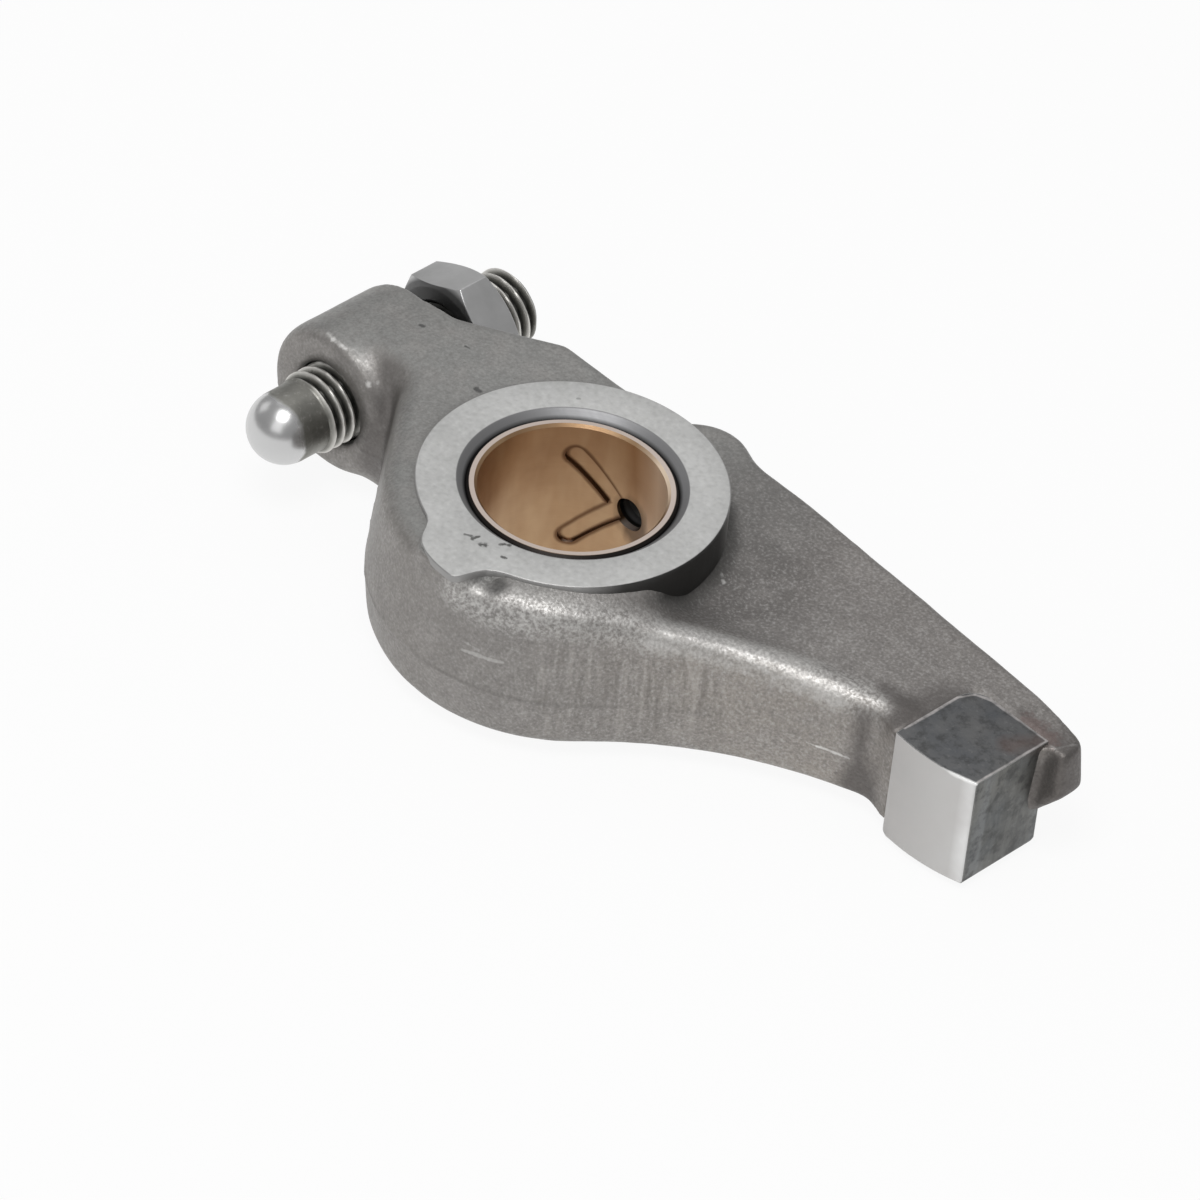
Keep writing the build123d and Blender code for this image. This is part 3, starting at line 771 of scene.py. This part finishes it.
for k in range(len(pad_outline)):
    j = (k + 1) % len(pad_outline)
    pad_form.faces.new((floor_points[k], floor_points[j], roof_points[j], roof_points[k]))
    floor_edge = pad_form.edges.get((floor_points[k], floor_points[j]))
    if k == CROWN_STEPS:
        floor_edge[round_share] = PAD_END_ROUND_SHARE
    elif k > CROWN_STEPS:
        floor_edge[round_share] = 1.0
bmesh.ops.recalc_face_normals(pad_form, faces=pad_form.faces)
pad_mesh = bpy.data.meshes.new("valve_pad")
pad_form.to_mesh(pad_mesh)
pad_form.free()
valve_pad = new_piece("valve_pad", pad_mesh)
for name, size, steps, method in (
    ("floor_round", PAD_FLOOR_ROUND, 8, "WEIGHT"),
    ("worn_edges", PAD_EDGE, 3, "ANGLE"),
):
    rounding = valve_pad.modifiers.new(name, "BEVEL")
    rounding.width = size * MM
    rounding.segments = steps
    rounding.limit_method = method
    rounding.angle_limit = math.radians(35)
pad_mesh = finished(valve_pad, 50)

pad_steel, tree, output = new_material("pad_steel")
place, spot, facing = skin_of(tree)
contact = spread(tree, facing["Y"], -0.80, -0.93)
roof = spread(tree, facing["Z"], 0.7, 0.9)
cloud = noise_of(tree, place, 0.15)
grain = noise_of(tree, place, 1.7)
streaks = noise_of(tree, place, (0.42, 0.42, 0.04), 3.0, 0.55)
mottled = noise_of(tree, place, 0.52, 4.0, 0.65)

# hardened flanks with streaks of scale, and a blued top, both mottled
clouded = spread(tree, cloud, 0.35, 0.65)
flank = painted(tree, (0.13, 0.135, 0.135), (0.19, 0.19, 0.18), clouded)
flank = painted(tree, flank, (0.25, 0.26, 0.265), spread(tree, streaks, 0.48, 0.62, 0.0, 0.55))
flank = painted(tree, flank, (0.07, 0.07, 0.066), spread(tree, streaks, 0.45, 0.30, 0.0, 0.45))
blued = painted(tree, (0.125, 0.13, 0.138), (0.165, 0.165, 0.165), clouded)
dark = painted(tree, flank, blued, roof)
dark = painted(tree, dark, (0.30, 0.30, 0.29), spread(tree, grain, 0.62, 0.78, 0.0, 0.5))
dark = painted(tree, dark, (0.06, 0.06, 0.06), spread(tree, mottled, 0.52, 0.36, 0.0, 0.6))
dark = painted(tree, dark, (0.24, 0.24, 0.24), spread(tree, mottled, 0.60, 0.74, 0.0, 0.5))
rust = near_line(tree, place, (69.5, 15.5, PAD_TOP), (71.0, 19.0, PAD_TOP), 2.6, cloud)
dark = painted(tree, dark, (0.19, 0.12, 0.10), rust, 0.35)

# satin contact face, lighter towards its right edge, with a painted highlight along that rounded
# edge
satin = painted(tree, (0.42, 0.41, 0.40), (0.60, 0.595, 0.585), spread(tree, spot["X"], 58.0, 71.5))
# painted highlight along the contact face's rounded right edge
satin = painted(tree, satin, (0.80, 0.80, 0.795), spread(tree, spot["X"], 69.6, 71.3))
satin = painted(tree, satin, (0.52, 0.50, 0.49), spread(tree, cloud, 0.3, 0.7, 0.0, 0.5))
pad_colour = painted(tree, dark, satin, contact)

# painted highlights on the rounded edges, along the top face's border and at the lip
rounded_normal = node(tree, "ShaderNodeBevel", {"Radius": 0.30 * MM}, samples=4).outputs[0]
true_normal = node(tree, "ShaderNodeNewGeometry").outputs["Normal"]
flatness = vector_sum(tree, "DOT_PRODUCT", rounded_normal, true_normal, "Value")
# painted highlight on every rounded edge
pad_colour = painted(tree, pad_colour, (0.60, 0.60, 0.59),
                     spread(tree, flatness, 0.985, 0.93),
                     spread(tree, cloud, 0.3, 0.6, 0.35, 0.9))
ROOF_HIGHLIGHT = (
    # corners of the painted highlight along the top face's border
    (58.1, 6.8), (58.1, 16.7), (59.2, 19.0), (61.4, 20.0), (71.7, 20.0), (71.7, 6.9),
)
for start, end in zip(ROOF_HIGHLIGHT, ROOF_HIGHLIGHT[1:]):
    roof_highlight = near_line(tree, place, (*start, PAD_TOP), (*end, PAD_TOP), 0.32, cloud)
    pad_colour = painted(tree, pad_colour, (0.58, 0.55, 0.54),
                         roof_highlight, roof, spread(tree, mottled, 0.3, 0.6, 0.35, 0.9))
# painted highlight along the contact face's top edge, the lip
lip_highlight = near_line(tree, place, (65.5, 4.4, PAD_TOP), (71.8, 6.4, PAD_TOP), 0.55, cloud)
pad_colour = painted(tree, pad_colour, (0.95, 0.95, 0.94), lip_highlight)

relief = reckoned(tree, "ADD", grain, all_of(tree, streaks, 1.5))
relief = all_of(tree, relief, spread(tree, contact, 0.0, 1.0, 1.0, 0.12))
metal_finish(tree, output, pad_colour, 0.85, spread(tree, contact, 0.0, 1.0, 0.50, 0.34),
             relief, 0.03, 0.6)
put_on(pad_mesh, pad_steel)
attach(valve_pad, "rocker")
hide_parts("rocker_body")

# ---------------------------------------------------------------- shaft bush
# Bronze bush, pressed into the hub and bored to size, with two oil grooves milled into its
# bore that meet beside the oil hole. Its thin end shows as a pale rim.
GROOVE_BEARING = math.radians(117.0)
GROOVE_HALF = 1.4
# on the bore laid out flat: across from the grooves' bearing, and up the shaft
GROOVE_ENDS = ((3.47, 20.45, 0), (-3.47, 13.25, 0), (3.47, 6.05, 0))
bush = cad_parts["shaft_bush"]
bearing_bronze, tree, output = new_material("bearing_bronze")
place, spot, facing = skin_of(tree)
off_shaft = axis_gap(tree, spot["X"], spot["Y"])
bored_lines = turned_lines(tree, spot["Z"], 3.8)
cloud = noise_of(tree, place, 0.12)
smear = noise_of(tree, place, (0.16, 0.16, 0.04))
bronze = painted(tree, (0.36, 0.215, 0.115), (0.46, 0.295, 0.165), spread(tree, cloud, 0.3, 0.7))
bronze = painted(tree, bronze, (0.66, 0.49, 0.31), spread(tree, smear, 0.45, 0.7, 0.0, 0.3))
# painted highlight down the far side of the bore
bore_highlight = near_line(tree, place, (9.2, 9.2, 4.0), (6.5, 11.3, 26.0), 8.0)
bronze = painted(tree, bronze, (0.95, 0.78, 0.60), bore_highlight, 0.85)

# dark edges of the oil grooves, and dirt round the oil hole
across = vector_sum(tree, "DOT_PRODUCT", place,
                    (-math.sin(GROOVE_BEARING), math.cos(GROOVE_BEARING), 0), "Value")
flattened = node(tree, "ShaderNodeCombineXYZ", {"X": across, "Y": spot["Z"]}).outputs[0]
groove_side = spread(tree, spot["Y"], 2.0, 4.0)
groove_gap = reckoned(tree, "ADD", path_gap(tree, flattened, *GROOVE_ENDS),
                      spread(tree, smear, 0.35, 0.65, -0.10, 0.10))
edge_gap = reckoned(tree, "ABSOLUTE", reckoned(tree, "SUBTRACT", groove_gap, GROOVE_HALF))
bronze = painted(tree, bronze, (0.11, 0.05, 0.022),
                 groove_side, spread(tree, edge_gap, 0.60, 0.20, 0.0, 0.85))
hole_dirt = near_line(tree, flattened, (-5.3, 13.4, 0), (-5.7, 11.9, 0), 3.3, smear)
bronze = painted(tree, bronze, (0.10, 0.06, 0.035), hole_dirt, groove_side, 0.8)

# pale end faces, and painted shade on the chamfer outside them, in the gap against the seat
rim = spread(tree, level_share(tree, facing), 0.80, 0.95)
bronze = painted(tree, bronze, (0.62, 0.53, 0.475), rim)
# painted shade in the gap between the bush and the seat
bronze = painted(tree, bronze, (0.03, 0.026, 0.024), spread(tree, off_shaft, 14.05, 14.15))
metal_finish(tree, output, bronze, spread(tree, bore_highlight, 0.0, 1.0, 0.9, 0.5),
             spread(tree, bored_lines, 0.3, 0.7, 0.34, 0.42), bored_lines, 0.006, 0.5)
put_on(bush.data, bearing_bronze)

# ---------------------------------------------------------------- adjusting screw
# Hardened M12 x 1.75 screw with a rolled right-hand thread, blackened by its heat treatment.
# The ball is ground and polished to run in the cup of the pushrod, and the other end has a
# hexagon socket.
THREAD_RADIUS = 6.0
THREAD_PITCH = 1.75
THREAD_DEPTH = 1.07
THREAD_ROOT = 4.8
THREAD_EASE = 0.02              # the rolled crests stay this much under the full radius
SHANK_RADIUS = 5.3
BALL_RADIUS = 5.3
BALL_Y = -12.0
THREAD_START = -8.3
THREAD_LEAD_IN = 0.9
SCREW_END = 31.3
END_CHAMFER = 1.0
CREST_TURN = 0.13
CREST_SHARE = 0.14
FLANK_SHARE = 0.64
FLANK_ROUND = 0.35
SOCKET_FLATS = 5.0
SOCKET_DEPTH = 4.5
SCREW_STEPS = 96
BALL_ROWS = 24
ROW_STEP = 0.125
FIRST_SHANK_ROW = 3             # above the ball's middle


def thread_radius(y, turn):
    """Radius of the screw at a height and a bearing in turns."""
    if y < THREAD_START:
        return SHANK_RADIUS
    phase = (y / THREAD_PITCH - turn + CREST_TURN) % 1.0
    flank = min(max((abs(phase - 0.5) * 2 - CREST_SHARE) / FLANK_SHARE, 0.0), 1.0)
    eased = (1 - FLANK_ROUND) * flank + FLANK_ROUND * flank * flank * (3 - 2 * flank)
    lead = min((y - THREAD_START) / THREAD_LEAD_IN, 1.0)
    start = SHANK_RADIUS + (THREAD_RADIUS - SHANK_RADIUS) * lead
    end = THREAD_RADIUS - max(y - SCREW_END + END_CHAMFER, 0.0)
    rolled = THREAD_RADIUS - THREAD_EASE - THREAD_DEPTH * eased
    return max(min(rolled, start, end), THREAD_ROOT)


rows = []
for k in range(1, BALL_ROWS + 1):
    a = math.radians(-90 + k * 90 / BALL_ROWS)
    rows.append((BALL_Y + BALL_RADIUS * math.sin(a), BALL_RADIUS * math.cos(a)))
for k in range(FIRST_SHANK_ROW, int((SCREW_END - BALL_Y) / ROW_STEP) + 1):
    rows.append((BALL_Y + k * ROW_STEP, None))
rows.append((SCREW_END, None))
points, faces = [(SCREW_X * MM, (BALL_Y - BALL_RADIUS) * MM, SCREW_Z * MM)], []
for y, radius in rows:
    for i in range(SCREW_STEPS):
        turn = i / SCREW_STEPS
        r = radius if radius is not None else thread_radius(y, turn)
        a = 2 * math.pi * turn
        points.append(((SCREW_X + r * math.sin(a)) * MM, y * MM,
                       (SCREW_Z + r * math.cos(a)) * MM))
for i in range(SCREW_STEPS):
    faces.append((0, 1 + (i + 1) % SCREW_STEPS, 1 + i))
for j in range(len(rows) - 1):
    for i in range(SCREW_STEPS):
        a = 1 + j * SCREW_STEPS + i
        b = 1 + j * SCREW_STEPS + (i + 1) % SCREW_STEPS
        faces.append((a, b, b + SCREW_STEPS, a + SCREW_STEPS))
last = 1 + (len(rows) - 1) * SCREW_STEPS
faces.append(tuple(last + i for i in range(SCREW_STEPS)))
screw_mesh = bpy.data.meshes.new("ball_screw")
screw_mesh.from_pydata(points, [], faces)
screw_mesh.update()
ball_screw = new_piece("ball_screw", screw_mesh)
key_turn = (
    Matrix.Translation(Vector((SCREW_X, SCREW_END, SCREW_Z)) * MM)
    @ Matrix.Rotation(math.radians(90), 4, "X")
)
screw_mesh = cut_with_bar(ball_screw, "hex_key", 6, SOCKET_FLATS / math.sqrt(3),
                          2 * SOCKET_DEPTH, key_turn)

screw_steel, tree, output = new_material("screw_steel")
place, spot, _ = skin_of(tree)
grain = noise_of(tree, place, 1.5, 4.0, 0.65)
cloud = noise_of(tree, place, 0.25)
off_axis = axis_gap(tree, spot["X"], spot["Z"], (SCREW_X, SCREW_Z, 0))
ragged_y = reckoned(tree, "ADD", spot["Y"], spread(tree, cloud, 0.3, 0.7, -0.5, 0.5))
polished = spread(tree, ragged_y, -12.6, -13.1)
shade_under_nut = all_of(tree, spread(tree, spot["Y"], 11.0, 12.6), spread(tree, spot["Y"], 20.5, 19.5))
open_thread = spread(tree, shade_under_nut, 0.0, 1.0, 1.0, 0.0)

# oil-blackened steel, darker in the roots, with painted shade between the boss and the nut,
# bright on the crests of the open thread, and polished on the ball
black = painted(tree, (0.20, 0.197, 0.18), (0.33, 0.325, 0.30), spread(tree, cloud, 0.3, 0.7))
black = painted(tree, black, (0.50, 0.49, 0.46), spread(tree, grain, 0.55, 0.75, 0.0, 0.6))
black = painted(tree, black, (0.025, 0.025, 0.024), spread(tree, off_axis, 5.45, 5.1),
                spread(tree, spot["Y"], THREAD_START, THREAD_START + 0.7), 0.8)
# painted shade on the thread between the boss and the nut
black = painted(tree, black, (0.03, 0.03, 0.03), shade_under_nut, 0.85)
screw = painted(tree, black, (0.74, 0.725, 0.69), spread(tree, off_axis, 5.5, 5.92), open_thread)
screw = painted(tree, screw, (0.62, 0.62, 0.62), polished)
metal_finish(tree, output, screw, 0.95, spread(tree, polished, 0.0, 1.0, 0.46, 0.27),
             grain, 0.05, spread(tree, polished, 0.0, 1.0, 0.5, 0.015))
put_on(screw_mesh, screw_steel)
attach(ball_screw, "screw")
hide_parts("adjusting_screw")

# ---------------------------------------------------------------- lock nut
# Plain M12 hexagon nut, 18 mm across flats, with turned cones at both faces and satin flats.
# It is turned down against the boss to hold the screw's setting.
NUT_EDGE = 0.32
hexagon = copied_solid("lock_nut", "hexagon_nut")
broken = hexagon.modifiers.new("broken_edges", "BEVEL")
broken.width = NUT_EDGE * MM
broken.segments = 3
broken.limit_method = "ANGLE"
broken.angle_limit = math.radians(25)
nut_mesh = finished(hexagon, 35)

nut_satin, tree, output = new_material("nut_satin")
place, spot, facing = skin_of(tree)
grain = noise_of(tree, place, 1.5)
cloud = noise_of(tree, place, 0.22)
nut = painted(tree, (0.49, 0.49, 0.49), (0.57, 0.57, 0.57), spread(tree, cloud, 0.3, 0.7))
nut = painted(tree, nut, (0.55, 0.55, 0.54), spread(tree, grain, 0.6, 0.8, 0.0, 0.4))
# painted shade on the nut's lower cone, which faces the boss
nut = painted(tree, nut, (0.05, 0.05, 0.05), spread(tree, spot["Y"], 18.3, 17.9),
              spread(tree, facing["Y"], -0.25, -0.45), 0.85)
metal_finish(tree, output, nut, 0.85, spread(tree, grain, 0.3, 0.7, 0.46, 0.36),
             grain, 0.02, 0.5)
put_on(nut_mesh, nut_satin)
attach(hexagon, "nut")
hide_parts("lock_nut")
